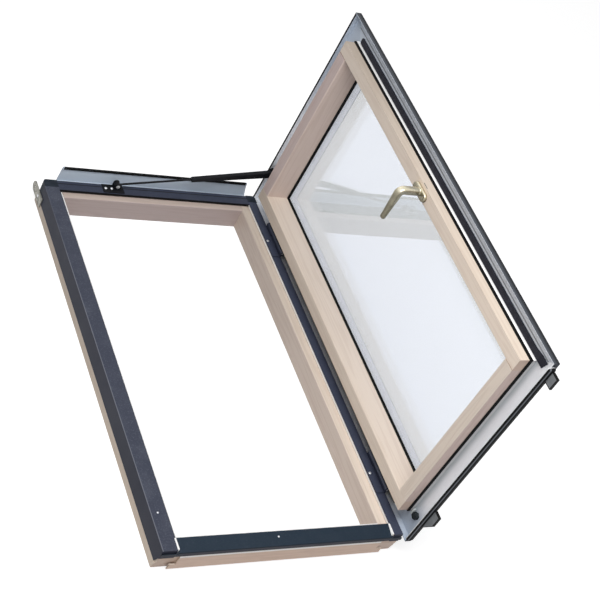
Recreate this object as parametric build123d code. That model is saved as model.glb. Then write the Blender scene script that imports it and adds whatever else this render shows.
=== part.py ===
from build123d import *
import math
import os

# Side-hung roof skylight: a timber frame that lies in the roof slope and a glazed timber sash.
# X runs across the window with the hinges on the +X side, Y runs up the slope, Z points out
# of the roof. The origin is the middle of the opening on the room side of the frame.
# Every sash piece is drawn closed over the frame and then swung open about the hinge axis.

# Frame timber
frame_width = 660.0
frame_height = 1180.0
frame_member = 54.0
lock_member = 51.5
sill_member = 46.0
frame_top = 78.0
ledge_step = 11.0
timber_round = 3.0
sill_proud = 4.0
sill_lap = 16.0
sill_lap_height = 22.0
sill_chamfer = 6.0
jamb_rake = 7.0
jamb_rake_height = 40.0

# Frame cladding, bent from one gauge of sheet
sheet = 1.5
skirt_height = 54.0
lock_cladding_width = 39.5
hinge_cladding_width = 29.0
rail_cladding_width = 35.5
cladding_round = 2.5
sill_fall = 8.0
sill_overhang = 1.5
sill_apron = 12.0
sill_end_gap = 3.0
end_flap_height = 30.0
skirt_rake = 10.0
end_seal_drop = 0.5
end_seal_setback = 5.0

# Frame gasket under the inner edge of the cladding
gasket_width = 2.0
gasket_height = 6.5
gasket_drop = 0.5

# Moulded caps on the two upper corners of the frame
cap_length = 26.0
cap_rise = 1.0
cap_round = 9.0
cap_groove = 2.0
cap_groove_depth = 0.6
cap_grooves = 4

# Rain hood above the head
hood_lock_inset = 47.0
hood_hinge_inset = 23.0
hood_foot = 22.0
hood_seat_drop = 12.0
hood_stand_off = 17.0
hood_lean = 6.0
hood_rise = 31.0
hood_end_rake = 8.0
hood_hem = 8.0
hood_hem_thickness = 4.0

# Mounting straps on the outer sides of the jambs
strap_thickness = 2.5
strap_width = 30.0
strap_lap = 45.0
strap_reach = 37.0
strap_height = 29.0
strap_hole = 4.0
strap_hole_inset = 16.0
strap_screw_inset = 15.0

# Sash timber, measured from its outer side inwards and from the room side outwards
hinge_axis_inset = 1.0
hinge_axis_rise = 12.0
hinge_to_sash = 31.0
sash_lock_inset = 47.0
sash_end_inset = 45.0
sash_member = 36.0
sash_seat_gap = 2.0
reveal_depth = 67.0
rebate_wall = 14.0

# Glazing unit and its gaskets
pane = 4.0
cavity = 10.0
glass_gap = 2.0
edge_seal_width = 4.0
spacer_width = 7.0
bed_gasket = 4.0
bed_gasket_show = 2.0
cover_gasket = 2.0
cover_lap = 10.0
setting_block_length = 100.0
setting_block_inset = 70.0

# Sash cover, one bent sheet on each side
cover_gap = 2.0
cover_overhang = 56.0
cover_lip = 18.0
cover_round = 3.0
flange_rise = 36.0

# Seals around the sash
carrier_height = 10.0
seal_height = 11.0
seal_proud = 3.0
bulb_width = 18.0
bulb_height = 3.5
bulb_gap = 1.0
bulb_top_setback = 3.0
bulb_bottom_reach = 32.0
bulb_flare = 4.0
bulb_flare_length = 25.0
bulb_slant = 6.5
bulb_chamfer = 1.5

# Drip rail, hold-down clips and corner buffer on the lower edge of the sash
drip_depth = 8.0
drip_inset = 11.0
drip_round = 3.5
clip_width = 34.0
clip_reach = 22.0
clip_thickness = 6.0
clip_inset = 19.0
clip_wing = 36.0
clip_hinge_offset = 53.0
buffer_radius = 10.0
buffer_height = 10.0
buffer_inset = 4.0
buffer_drop = 22.0

# Hinges
hinge_from_end = 185.0
hinge_length = 120.0
hinge_leaf = 2.5
hinge_frame_leaf_width = 28.0
hinge_sash_leaf_inset = 24.0
hinge_sash_leaf_width = 36.0
hinge_lug = 5.0
knuckle_radius = 6.5
knuckle_gap = 0.4
hinge_pin_radius = 3.0
running_fit = 0.1
hinge_frame_screw_inset = 7.0
hinge_screw_inset = 9.0
hinge_screw_spread = 38.0
hinge_strip_end = 25.0
hinge_strip_thickness = 1.5
hinge_strip_gap = 0.5

# Screw heads
screw_head = 4.2
screw_head_height = 1.4

# Telescopic stay between the head and the top of the sash
stay_from_edge = 10.0
stay_anchor_inset = 212.0
stay_anchor_height = 11.0
stay_pivot_from_hinge = 91.0
stay_pivot_above_hinge = 10.0
stay_thickness = 12.0
stay_rod_radius = 3.0
stay_engagement = 82.0
stay_eye_radius = 8.0
stay_pin_radius = 3.5
stay_pin_head = 5.5
stay_pin_head_height = 1.5
stay_sleeve_length = 248.0
stay_mouth_half = 5.5
stay_end_half = 10.0
stay_bore_gap = 0.4
stay_bore_end = 22.0
stay_side_gap = 0.4
stay_lug = 3.0
stay_lug_radius = 9.0
stay_base = 2.0
stay_base_length = 62.0
stay_base_ahead = 20.0
stay_base_edge = 2.0
stay_screw_inset = 9.0
stay_plate_width = 28.0
stay_plate_drop = 9.0
stay_plate_round = 6.0
stay_foot = 10.0
stay_rivet_radius = 5.0
stay_rivet_height = 2.0

# Handle
handle_from_side = 20.5
rose_length = 64.0
rose_width = 24.0
rose_thickness = 8.0
rose_round = 2.5
rose_collar_radius = 11.0
rose_collar_height = 3.0
neck_radius = 8.0
neck_gap = 0.4
neck_seat = 3.0
handle_reach = 57.0
elbow_radius = 16.0
grip_length = 96.0
grip_root_radius = 8.0
grip_end_radius = 5.4
grip_chamfer = 2.5
spindle_side = 7.0
spindle_length = 20.0
spindle_gap = 0.5

# Lock in the stile and its keeper on the jamb
case_length = 44.0
case_width = 20.0
case_height = 18.0
case_fit = 0.1
bolt_width = 20.0
bolt_thickness = 2.8
bolt_rise = 1.6
bolt_length = 27.5
bolt_setback = 0.5
bolt_clearance = 0.3
keeper_length = 60.0
keeper_depth = 4.0
keeper_gasket_gap = 0.3
keeper_height = 8.5
keeper_round = 1.5

# How far a cutting solid runs past the face that it opens
overrun = 1.0

half_width = frame_width / 2
half_height = frame_height / 2
ledge_height = frame_top - ledge_step
skirt_bottom = frame_top - skirt_height
timber_top = frame_top - sheet
lock_riser = lock_cladding_width - gasket_width
hinge_riser = hinge_cladding_width - gasket_width
rail_riser = rail_cladding_width - gasket_width
lock_inner = lock_member - half_width
hinge_inner = half_width - frame_member
jamb_end = sill_proud - half_height
end_flap_bottom = frame_top - end_flap_height

hood_left = hood_lock_inset - half_width
hood_right = half_width - hood_hinge_inset
hood_foot_top = frame_top - hood_seat_drop
hood_top = frame_top + hood_rise

hinge_x = half_width - hinge_axis_inset
hinge_z = frame_top + hinge_axis_rise
hinge_spread = half_height - hinge_from_end
flange_height = frame_top + flange_rise

sash_hinge_side = hinge_x - hinge_to_sash
sash_lock_side = sash_lock_inset - half_width
sash_width = sash_hinge_side - sash_lock_side
sash_middle = (sash_hinge_side + sash_lock_side) / 2
sash_half = half_height - sash_end_inset
sash_front = ledge_height + sash_seat_gap
rebate_floor = sash_front + reveal_depth
inner_pane_floor = rebate_floor + bed_gasket
cavity_floor = inner_pane_floor + pane
outer_pane_floor = cavity_floor + cavity
glass_top = outer_pane_floor + pane
cover_floor = glass_top + cover_gasket
carrier_floor = flange_height - carrier_height
seal_floor = carrier_floor - seal_height
glass_inset = rebate_wall + glass_gap
cover_inner = sash_member + cover_lap

stay_y = half_height - stay_from_edge
stay_anchor_x = stay_anchor_inset - half_width
stay_anchor_z = frame_top + stay_anchor_height
stay_pivot_x = hinge_x - stay_pivot_from_hinge
stay_pivot_z = hinge_z + stay_pivot_above_hinge
stay_run = hinge_x + stay_pivot_above_hinge - stay_anchor_x
stay_rise = hinge_z + stay_pivot_from_hinge - stay_anchor_z
stay_length = math.hypot(stay_run, stay_rise)
stay_angle = math.degrees(math.atan2(stay_rise, stay_run))
stay_mouth = stay_length - stay_sleeve_length
stay_rod_length = stay_mouth + stay_engagement

spindle_x = sash_lock_side + handle_from_side
spindle_bore = spindle_side / math.sqrt(2) + spindle_gap
bolt_start = sash_lock_side + bolt_setback
bolt_end = bolt_start + bolt_length
bolt_floor = sash_front + bolt_rise


def section(points):
    return make_face(Polyline(*points, close=True))


def soften(face, corner, radius):
    nearest = face.vertices().sort_by_distance(Vector(corner[0], corner[1], 0))[0]
    return fillet(nearest, radius)


def along_x(face, start, end):
    return extrude(Plane.YZ.offset(start) * face, end - start, dir=(1, 0, 0))


def along_y(face, start, end):
    return extrude(Plane.XZ.offset(-end) * face, end - start, dir=(0, -1, 0))


def along_z(face, bottom, top):
    return extrude(Plane.XY.offset(bottom) * face, top - bottom, dir=(0, 0, 1))


def rectangle(low, high):
    return section([low, (high[0], low[1]), high, (low[0], high[1])])


def rod_y(x, z, radius, start, end):
    return along_y(Pos(x, z) * Circle(radius), start, end)


def rod_z(x, y, radius, bottom, top):
    return along_z(Pos(x, y) * Circle(radius), bottom, top)


def swing_open(shape):
    return shape.rotate(Axis((hinge_x, 0, hinge_z), (0, 1, 0)), 90)


def sash_ring(outer, inner, bottom, top):
    # A rectangular ring around the sash; both insets count inwards from the timber's outer side
    def plan(inset):
        low = (sash_lock_side + inset, inset - sash_half)
        high = (sash_hinge_side - inset, sash_half - inset)
        return rectangle(low, high)

    return along_z(plan(outer) - plan(inner), bottom, top)


def screw():
    # A six-sided head standing on Z = 0
    return along_z(RegularPolygon(screw_head, 6), 0, screw_head_height)


def group(shapes):
    return Compound(children=list(shapes))


def jamb(side, member, cladding_width):
    riser = cladding_width - gasket_width
    outline = [
        (0, 0),
        (member, 0),
        (member, ledge_height),
        (riser, ledge_height),
        (riser, timber_top),
        (sheet, timber_top),
        (sheet, skirt_bottom),
        (0, skirt_bottom),
    ]
    face = section([(side * (half_width - inset), z) for inset, z in outline])
    inner = side * (half_width - member)
    face = soften(face, (inner, ledge_height), timber_round)
    face = soften(face, (inner, 0), timber_round)
    bar = along_y(face, jamb_end, half_height - sheet)
    corner = (side * (half_width - sheet), half_height - sheet, (skirt_bottom + timber_top) / 2)
    upright = bar.edges().filter_by(Axis.Z).sort_by_distance(corner)[0]
    return fillet(upright, cap_round - sheet) - raked_end(jamb_end, jamb_rake, 0, jamb_rake_height)


def raked_end(end, depth, bottom, top):
    # Cutter that slants the lower part of a jamb's lower end, across the whole frame
    wedge = section([
        (end - sheet - overrun, top),
        (end, top),
        (end + depth, bottom),
        (end + depth, bottom - overrun),
        (end - sheet - overrun, bottom - overrun),
    ])
    return along_x(wedge, -half_width - overrun, half_width + overrun)


def head_rail():
    foot = [
        (half_height, 0),
        (half_height - frame_member, 0),
        (half_height - frame_member, ledge_height),
        (half_height - sheet, ledge_height),
        (half_height - sheet, skirt_bottom),
        (half_height, skirt_bottom),
    ]
    face = section(foot)
    face = soften(face, (half_height - frame_member, ledge_height), timber_round)
    face = soften(face, (half_height - frame_member, 0), timber_round)
    lower = along_x(face, lock_inner, hinge_inner)
    upstand = rectangle((half_height - rail_riser, ledge_height), (half_height - sheet, timber_top))
    upper = along_x(upstand, lock_riser - half_width, half_width - hinge_riser)
    return lower + upper


def sill_height(inset):
    # Height of the sloping sill sheet over a point at this inset from the frame's lower side
    run = rail_cladding_width + sill_overhang
    return frame_top - sill_fall * (rail_cladding_width - inset) / run


def sill_rail():
    inner = sill_member - half_height
    foot = section([
        (sill_chamfer - half_height, 0),
        (inner, 0),
        (inner, ledge_height),
        (-half_height, ledge_height),
        (-half_height, sill_chamfer),
    ])
    foot = soften(foot, (inner, ledge_height), timber_round)
    foot = soften(foot, (inner, 0), timber_round)
    lower = along_x(foot, lock_inner, hinge_inner)
    upstand = section([
        (-half_height, ledge_height),
        (rail_riser - half_height, ledge_height),
        (rail_riser - half_height, sill_height(rail_riser) - sheet),
        (-half_height, sill_height(0) - sheet),
    ])
    upper = along_x(upstand, lock_riser - half_width, half_width - hinge_riser)
    lap = section([
        (-half_height, sill_chamfer),
        (jamb_end, sill_chamfer - sill_proud),
        (jamb_end, sill_lap_height),
        (-half_height, sill_lap_height),
    ])
    return lower + upper + along_x(lap, lock_inner - sill_lap, hinge_inner + sill_lap)


def jamb_cladding(side, cladding_width):
    # Angle over the jamb, with a flap folded down over its lower end
    outer = side * half_width
    edge = side * (half_width - cladding_width)
    outline = [
        (0, skirt_bottom),
        (0, frame_top),
        (cladding_width, frame_top),
        (cladding_width, timber_top),
        (sheet, timber_top),
        (sheet, skirt_bottom),
    ]
    face = section([(side * (half_width - inset), z) for inset, z in outline])
    face = soften(face, (outer, frame_top), cladding_round)
    cladding = along_y(face, jamb_end, half_height - cap_length)
    flap = soften(rectangle((outer, end_flap_bottom), (edge, frame_top)), (outer, frame_top), cladding_round)
    cladding += along_y(flap, jamb_end - sheet, jamb_end)
    notch = rectangle(
        (edge - side * overrun, jamb_end - sheet - overrun),
        (edge + side * gasket_width, rail_cladding_width - half_height),
    )
    cladding -= along_z(notch, end_flap_bottom - overrun, frame_top + overrun)
    return cladding - raked_end(jamb_end, skirt_rake, skirt_bottom, end_flap_bottom)


def head_cladding():
    outline = [
        (half_height, skirt_bottom),
        (half_height, frame_top),
        (half_height - rail_cladding_width, frame_top),
        (half_height - rail_cladding_width, timber_top),
        (half_height - sheet, timber_top),
        (half_height - sheet, skirt_bottom),
    ]
    face = soften(section(outline), (half_height, frame_top), cladding_round)
    return along_x(face, lock_cladding_width - half_width, half_width - hinge_cladding_width)


def sill_cladding():
    # Sloping sheet between the jambs, with an apron that runs on in front of their ends
    lip = -half_height - sill_overhang
    edge = rail_cladding_width - half_height
    bend = sill_height(-sill_overhang)
    outline = [
        (edge, frame_top),
        (lip, bend),
        (lip, bend - sill_apron),
        (lip + sheet, bend - sill_apron),
        (lip + sheet, sill_height(sheet - sill_overhang) - sheet),
        (edge, frame_top - sheet),
    ]
    face = soften(section(outline), outline[1], cladding_round)
    start = lock_cladding_width - half_width + sill_end_gap
    cladding = along_x(face, start, half_width - hinge_cladding_width - sill_end_gap)
    apron = rectangle((lip, bend - sill_apron), (lip + sheet, bend - cladding_round))
    return cladding + along_x(apron, -half_width, half_width)


def sill_end_seals():
    # Pale foam wedges that close the gaps between the sill sheet and the jambs
    edge = rail_cladding_width - half_height
    front = end_seal_setback - half_height
    wedge = section([
        (edge, sill_height(rail_cladding_width) - sheet),
        (edge, frame_top - end_seal_drop),
        (front, frame_top - end_seal_drop),
        (front, sill_height(end_seal_setback) - sheet),
    ])
    lock_start = lock_riser - half_width
    hinge_end = half_width - hinge_riser
    width = gasket_width + sill_end_gap
    lock_seal = along_x(wedge, lock_start, lock_start + width)
    return group([lock_seal, along_x(wedge, hinge_end - width, hinge_end)])


def frame_gasket():
    outer = rectangle(
        (lock_riser - half_width, rail_riser - half_height),
        (half_width - hinge_riser, half_height - rail_riser),
    )
    inner = rectangle(
        (lock_cladding_width - half_width, rail_cladding_width - half_height),
        (half_width - hinge_cladding_width, half_height - rail_cladding_width),
    )
    top = timber_top - gasket_drop
    gap = keeper_length / 2 + keeper_gasket_gap
    keeper_room = rectangle(
        (lock_riser - half_width - overrun, -gap),
        (lock_cladding_width - half_width + overrun, gap),
    )
    return along_z(outer - inner - keeper_room, top - gasket_height, top)


def corner_cap(side, cladding_width):
    def plan(inset, reach):
        low = half_height - cap_length - reach
        points = [
            (half_width - inset, half_height - inset),
            (half_width - inset, low),
            (half_width - cladding_width - reach, low),
            (half_width - cladding_width - reach, half_height - inset),
        ]
        face = section([(side * x, y) for x, y in points])
        return soften(face, (side * points[0][0], points[0][1]), cap_round - inset)

    cap = along_z(plan(0, 0), skirt_bottom, frame_top + cap_rise)
    cap -= along_z(plan(sheet, overrun), skirt_bottom - overrun, timber_top)
    middle = side * (half_width - cladding_width / 2)
    pitch = cap_length / (cap_grooves + 1)
    for number in range(1, cap_grooves + 1):
        groove = Box(cladding_width + 2 * overrun, cap_groove, 2 * cap_groove_depth)
        cap -= Pos(middle, half_height - number * pitch, frame_top + cap_rise) * groove
    return cap


def rain_hood():
    # The sheet climbs from its foot on the head to a leaning upstand with a folded hem
    outer = half_height
    back = outer + hood_stand_off
    top_back = back + hood_lean
    floor = hood_foot_top - sheet
    outline = [
        (outer, hood_foot_top - hood_foot),
        (outer, hood_foot_top),
        (back - sheet, hood_foot_top),
        (top_back - sheet, hood_top - hood_hem),
        (top_back - hood_hem_thickness, hood_top - hood_hem),
        (top_back - hood_hem_thickness, hood_top),
        (top_back, hood_top),
        (top_back, hood_top - hood_hem),
        (back, floor),
        (outer + sheet, floor),
        (outer + sheet, hood_foot_top - hood_foot),
    ]
    bent = along_x(section(outline), hood_left, hood_right)
    raked = section([
        (hood_left, hood_foot_top - hood_foot - overrun),
        (hood_right, hood_foot_top - hood_foot - overrun),
        (hood_right, hood_foot_top),
        (hood_right - hood_end_rake, hood_top + overrun),
        (hood_left + hood_end_rake, hood_top + overrun),
        (hood_left, hood_foot_top),
    ])
    return bent & along_y(raked, outer - overrun, top_back + overrun)


def mounting_strap(side):
    inner = half_height - strap_lap
    tip = half_height + strap_reach - strap_width / 2
    face = rectangle((inner, strap_height - strap_width / 2), (tip, strap_height + strap_width / 2))
    face += Pos(tip, strap_height) * Circle(strap_width / 2)
    face -= Pos(tip + strap_width / 2 - strap_hole_inset, strap_height) * Circle(strap_hole)
    start = half_width if side > 0 else -half_width - strap_thickness
    return along_x(face, start, start + strap_thickness)


def strap_screws():
    heads = []
    for side in (-1, 1):
        face_x = side * (half_width + strap_thickness)
        place = Pos(face_x, half_height - strap_screw_inset, strap_height) * Rot(0, side * 90, 0)
        heads.append(place * screw())
    return group(heads)


def knuckle_third(middle, number):
    # Start and end of one of the three knuckle lengths of a hinge
    third = hinge_length / 3
    start = middle - hinge_length / 2 + number * third
    return start + knuckle_gap / 2, start + third - knuckle_gap / 2


def hinge_frame_leaf(middle):
    start = middle - hinge_length / 2
    end = middle + hinge_length / 2
    plate = rectangle((hinge_x - hinge_frame_leaf_width, frame_top), (hinge_x, frame_top + hinge_leaf))
    leaf = along_y(plate, start, end)
    for number in (0, 2):
        low, high = knuckle_third(middle, number)
        lug = rectangle((hinge_x - hinge_lug, frame_top), (hinge_x, hinge_z))
        leaf += along_y(lug, low, high)
        leaf += rod_y(hinge_x, hinge_z, knuckle_radius, low, high)
    return leaf - rod_y(hinge_x, hinge_z, hinge_pin_radius, start - overrun, end + overrun)


def hinge_sash_leaf(middle):
    edge = hinge_x - hinge_sash_leaf_inset
    plate = rectangle((edge, flange_height - hinge_leaf), (edge + hinge_sash_leaf_width, flange_height))
    leaf = along_y(plate, middle - hinge_length / 2, middle + hinge_length / 2)
    low, high = knuckle_third(middle, 1)
    lug = rectangle((hinge_x, hinge_z), (hinge_x + hinge_lug, flange_height))
    leaf += along_y(lug, low, high)
    leaf += rod_y(hinge_x, hinge_z, knuckle_radius, low, high)
    return leaf - rod_y(hinge_x, hinge_z, hinge_pin_radius + running_fit, low - overrun, high + overrun)


def hinge_pin(middle):
    return rod_y(hinge_x, hinge_z, hinge_pin_radius, middle - hinge_length / 2, middle + hinge_length / 2)


def hinge_frame_screws():
    # One screw in the middle of each frame leaf
    x = hinge_x - hinge_frame_leaf_width + hinge_frame_screw_inset
    return group([Pos(x, y, frame_top + hinge_leaf) * screw() for y in (-hinge_spread, hinge_spread)])


def hinge_sash_screws():
    heads = []
    for middle in (-hinge_spread, hinge_spread):
        for step in (-hinge_screw_spread, hinge_screw_spread):
            x = hinge_x - hinge_sash_leaf_inset + hinge_screw_inset
            place = Pos(x, middle + step, flange_height - hinge_leaf) * Rot(180, 0, 0)
            heads.append(swing_open(place * screw()))
    return group(heads)


def hinge_side_strip():
    # Dark strip inside the hinge-side flange, cut out around both hinge leaves
    half_length = hinge_spread + hinge_length / 2 + hinge_strip_end
    low = (sash_hinge_side + seal_proud + hinge_strip_gap, -half_length)
    high = (sash_hinge_side + cover_overhang - sheet - hinge_strip_gap, half_length)
    plan = rectangle(low, high)
    edge = hinge_x - hinge_sash_leaf_inset
    reach = hinge_length / 2 + hinge_strip_gap
    for middle in (-hinge_spread, hinge_spread):
        plan -= rectangle(
            (edge - hinge_strip_gap, middle - reach),
            (edge + hinge_sash_leaf_width + hinge_strip_gap, middle + reach),
        )
    return along_z(plan, flange_height - hinge_strip_thickness, flange_height)


def stile(outer_x, inward):
    # A full-height side member; inward is +1 or -1, the way from its outer side to the glass
    outline = [
        (0, sash_front),
        (sash_member, sash_front),
        (sash_member, rebate_floor),
        (rebate_wall, rebate_floor),
        (rebate_wall, cover_floor - gasket_drop),
        (0, cover_floor - gasket_drop),
    ]
    face = section([(outer_x + inward * inset, z) for inset, z in outline])
    face = soften(face, (outer_x + inward * sash_member, sash_front), timber_round)
    return along_y(face, -sash_half, sash_half)


def bolt_slot(start, end):
    half = bolt_width / 2 + bolt_clearance
    low = (start, bolt_floor - bolt_clearance)
    high = (end, bolt_floor + bolt_thickness + bolt_clearance)
    return along_y(rectangle(low, high), -half, half)


def lock_stile():
    bar = stile(sash_lock_side, 1)
    reach_x = case_width / 2 + case_fit
    reach_y = case_length / 2 + case_fit
    mortise = rectangle((spindle_x - reach_x, -reach_y), (spindle_x + reach_x, reach_y))
    bar -= along_z(mortise, sash_front - overrun, sash_front + case_height + case_fit)
    return bar - bolt_slot(sash_lock_side - overrun, spindle_x)


def sash_rail(end):
    # A rail between the stiles; end is +1 at the top and -1 at the bottom
    outer = end * sash_half
    foot = [
        (0, sash_front),
        (sash_member, sash_front),
        (sash_member, rebate_floor),
        (0, rebate_floor),
    ]
    face = section([(outer - end * inset, z) for inset, z in foot])
    face = soften(face, (outer - end * sash_member, sash_front), timber_round)
    lower = along_x(face, sash_lock_side + sash_member, sash_hinge_side - sash_member)
    wall = rectangle((outer, rebate_floor), (outer - end * rebate_wall, cover_floor - gasket_drop))
    upper = along_x(wall, sash_lock_side + rebate_wall, sash_hinge_side - rebate_wall)
    return lower + upper


def glass_pane(bottom):
    low = (sash_lock_side + glass_inset, glass_inset - sash_half)
    high = (sash_hinge_side - glass_inset, sash_half - glass_inset)
    return along_z(rectangle(low, high), bottom, bottom + pane)


def setting_blocks():
    # Pads that carry the glass clear of the upper and lower rebate walls
    blocks = []
    for end in (-1, 1):
        wall = end * (sash_half - rebate_wall)
        edge = end * (sash_half - glass_inset)
        for x in (sash_lock_side + setting_block_inset, sash_hinge_side - setting_block_inset):
            towards_middle = math.copysign(setting_block_length, sash_middle - x)
            plan = rectangle((x, wall), (x + towards_middle, edge))
            blocks.append(swing_open(along_z(plan, inner_pane_floor, glass_top)))
    return group(blocks)


def cover_bar(half_length):
    # One side of the cover along Y, with +X pointing inwards from the timber's outer side.
    # The sheet caps the timber, drops beside it, turns out as a flange and ends in a lip.
    side = -cover_gap
    edge = -cover_overhang
    outline = [
        (cover_inner, cover_floor),
        (cover_inner, cover_floor + sheet),
        (side - sheet, cover_floor + sheet),
        (side - sheet, flange_height + sheet),
        (edge, flange_height + sheet),
        (edge, flange_height - cover_lip),
        (edge + sheet, flange_height - cover_lip),
        (edge + sheet, flange_height),
        (side, flange_height),
        (side, cover_floor),
    ]
    face = soften(section(outline), outline[2], cover_round)
    face = soften(face, outline[4], cover_round)
    mitre = section([
        (edge, -half_length - cover_overhang),
        (edge, half_length + cover_overhang),
        (cover_inner, half_length - cover_inner),
        (cover_inner, cover_inner - half_length),
    ])
    reach = half_length + cover_overhang
    return along_y(face, -reach, reach) & along_z(mitre, 0, cover_floor + cover_lip)


def lock_side_bulb():
    # Dark bulb seal on the flange beside the lock stile, with a wider, slanted lower end
    near = sash_lock_side - seal_proud - bulb_gap
    far = near - bulb_width
    top = sash_half - bulb_top_setback
    bottom = -sash_half - bulb_bottom_reach
    outline = [
        (near, top),
        (near, bottom + bulb_slant),
        (far - bulb_flare, bottom),
        (far - bulb_flare, bottom + bulb_flare_length),
        (far, bottom + 2 * bulb_flare_length),
        (far, top),
    ]
    face = soften(section(outline), outline[0], bulb_width / 3)
    face = soften(face, outline[5], bulb_width / 3)
    strip = along_z(face, flange_height - bulb_height, flange_height)
    return chamfer(strip.faces().sort_by(Axis.Z)[0].edges(), bulb_chamfer)


def drip_rail():
    front = -sash_half - cover_overhang
    floor = flange_height - cover_lip
    face = rectangle((front - drip_depth, floor), (front, flange_height))
    face = soften(face, (front - drip_depth, floor), drip_round)
    face = soften(face, (front - drip_depth, flange_height), drip_round)
    start = sash_lock_side - cover_overhang + drip_inset
    return along_x(face, start, sash_hinge_side + cover_overhang - drip_inset)


def hold_down_clips():
    front = -sash_half - cover_overhang - drip_depth
    tip = front - clip_reach
    far = sash_lock_side - cover_overhang + clip_inset
    near = sash_hinge_side - clip_hinge_offset
    far_plan = section([(far, front), (far, tip), (far + clip_width, tip), (far + clip_width, front)])
    near_plan = section([
        (near - clip_width, front),
        (near - clip_width, tip),
        (near, tip),
        (near + clip_wing, front),
    ])
    floor = flange_height - cover_lip / 2 - clip_thickness / 2
    clips = []
    for plan in (far_plan, near_plan):
        clips.append(swing_open(along_z(plan, floor, floor + clip_thickness)))
    return group(clips)


def corner_buffer():
    centre = Pos(sash_hinge_side - buffer_inset, -sash_half - buffer_drop)
    return along_z(centre * RegularPolygon(buffer_radius, 6), flange_height - buffer_height, flange_height)


def stay_bracket():
    # Base plate on the head cladding with two lugs around the rod's eye
    low = half_height - rail_cladding_width + stay_base_edge
    ahead = stay_anchor_x + stay_base_ahead
    plan = rectangle((ahead - stay_base_length, low), (ahead, half_height - stay_base_edge))
    bracket = along_z(plan, frame_top, frame_top + stay_base)
    near = stay_y - stay_thickness / 2 - stay_side_gap - stay_lug
    far = stay_y + stay_thickness / 2 + stay_side_gap
    for start in (near, far):
        ear = Pos(stay_anchor_x, stay_anchor_z) * Circle(stay_lug_radius)
        ear += rectangle(
            (stay_anchor_x - stay_lug_radius, frame_top),
            (stay_anchor_x + stay_lug_radius, stay_anchor_z),
        )
        bracket += along_y(ear, start, start + stay_lug)
    end = far + stay_lug + overrun
    return bracket - rod_y(stay_anchor_x, stay_anchor_z, stay_pin_radius, near - overrun, end)


def stay_bracket_screws():
    row = half_height - rail_cladding_width / 2
    back = stay_anchor_x + stay_base_ahead - stay_base_length + stay_screw_inset
    heads = []
    for x in (back, back + 2 * stay_screw_inset):
        heads.append(Pos(x, row, frame_top + stay_base) * screw())
    return group(heads)


def stay_pin():
    reach = stay_thickness / 2 + stay_side_gap + stay_lug
    pin = rod_y(stay_anchor_x, stay_anchor_z, stay_pin_radius, stay_y - reach, stay_y + reach)
    for start in (stay_y - reach - stay_pin_head_height, stay_y + reach):
        end = start + stay_pin_head_height
        pin += rod_y(stay_anchor_x, stay_anchor_z, stay_pin_head, start, end)
    return pin


def place_stay(shape):
    # From the stay's own axis, drawn along X from its anchor pivot, to its open place
    return Pos(stay_anchor_x, stay_y, stay_anchor_z) * Rot(0, -stay_angle, 0) * shape


def stay_rod():
    half = stay_thickness / 2
    rod = along_x(Circle(stay_rod_radius), 0, stay_rod_length)
    rod += along_y(Circle(stay_eye_radius), -half, half)
    return place_stay(rod - along_y(Circle(stay_pin_radius + running_fit), -half - overrun, half + overrun))


def stay_sleeve():
    # Tapered channel that slides over the rod and ends in a round eye at the sash
    half = stay_thickness / 2
    face = section([
        (stay_mouth, -stay_mouth_half),
        (stay_length, -stay_end_half),
        (stay_length, stay_end_half),
        (stay_mouth, stay_mouth_half),
    ])
    face += Pos(stay_length, 0) * Circle(stay_end_half)
    face -= Pos(stay_length, 0) * Circle(stay_pin_radius)
    bore = Circle(stay_rod_radius + stay_bore_gap)
    return place_stay(
        along_y(face, -half, half) - along_x(bore, stay_mouth - overrun, stay_length - stay_bore_end)
    )


def stay_sash_bracket():
    # Angle under the top flange whose upright stands beside the sleeve's eye
    face_y = stay_y + stay_thickness / 2 + stay_side_gap
    floor = stay_pivot_z - stay_plate_drop
    plate = rectangle(
        (stay_pivot_x - stay_plate_width / 2, floor),
        (stay_pivot_x + stay_plate_width / 2, flange_height),
    )
    for edge in (-1, 1):
        plate = soften(plate, (stay_pivot_x + edge * stay_plate_width / 2, floor), stay_plate_round)
    foot = rectangle(
        (stay_pivot_x - stay_plate_width / 2, flange_height - stay_lug),
        (stay_pivot_x + stay_plate_width / 2, flange_height),
    )
    upright = along_y(plate, face_y, face_y + stay_lug)
    return upright + along_y(foot, face_y, face_y + stay_foot)


def stay_rivet():
    back = stay_y + stay_thickness / 2 + stay_side_gap + stay_lug
    return rod_y(stay_pivot_x, stay_pivot_z, stay_rivet_radius, back, back + stay_rivet_height)


def handle_rose():
    oval = Pos(spindle_x, 0) * Rot(0, 0, 90) * SlotOverall(rose_length, rose_width)
    foot = sash_front - rose_thickness
    collar_foot = foot - rose_collar_height
    rose = along_z(oval, foot, sash_front)
    rose = chamfer(rose.faces().sort_by(Axis.Z)[0].edges(), rose_round)
    rose += rod_z(spindle_x, 0, rose_collar_radius, collar_foot, foot)
    return rose - rod_z(spindle_x, 0, neck_radius + neck_gap, collar_foot - overrun, sash_front + overrun)


def handle_lever():
    # Round neck out of the rose, a bend, and a slim grip that points at the hinges
    seat = sash_front - neck_seat
    axis_z = sash_front - handle_reach
    neck = rod_z(spindle_x, 0, neck_radius, axis_z + elbow_radius, seat)
    bend_start = Pos(spindle_x, 0, axis_z + elbow_radius) * Circle(neck_radius)
    pivot = Axis((spindle_x + elbow_radius, 0, axis_z + elbow_radius), (0, -1, 0))
    elbow = revolve(bend_start, pivot, 90)
    straight = grip_length - elbow_radius
    half = section([
        (0, 0),
        (straight, 0),
        (straight, grip_end_radius - grip_chamfer),
        (straight - grip_chamfer, grip_end_radius),
        (0, grip_root_radius),
    ])
    grip = Pos(spindle_x + elbow_radius, 0, axis_z) * revolve(Plane.XZ * half, Axis.X, 360)
    return neck + elbow + grip


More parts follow.
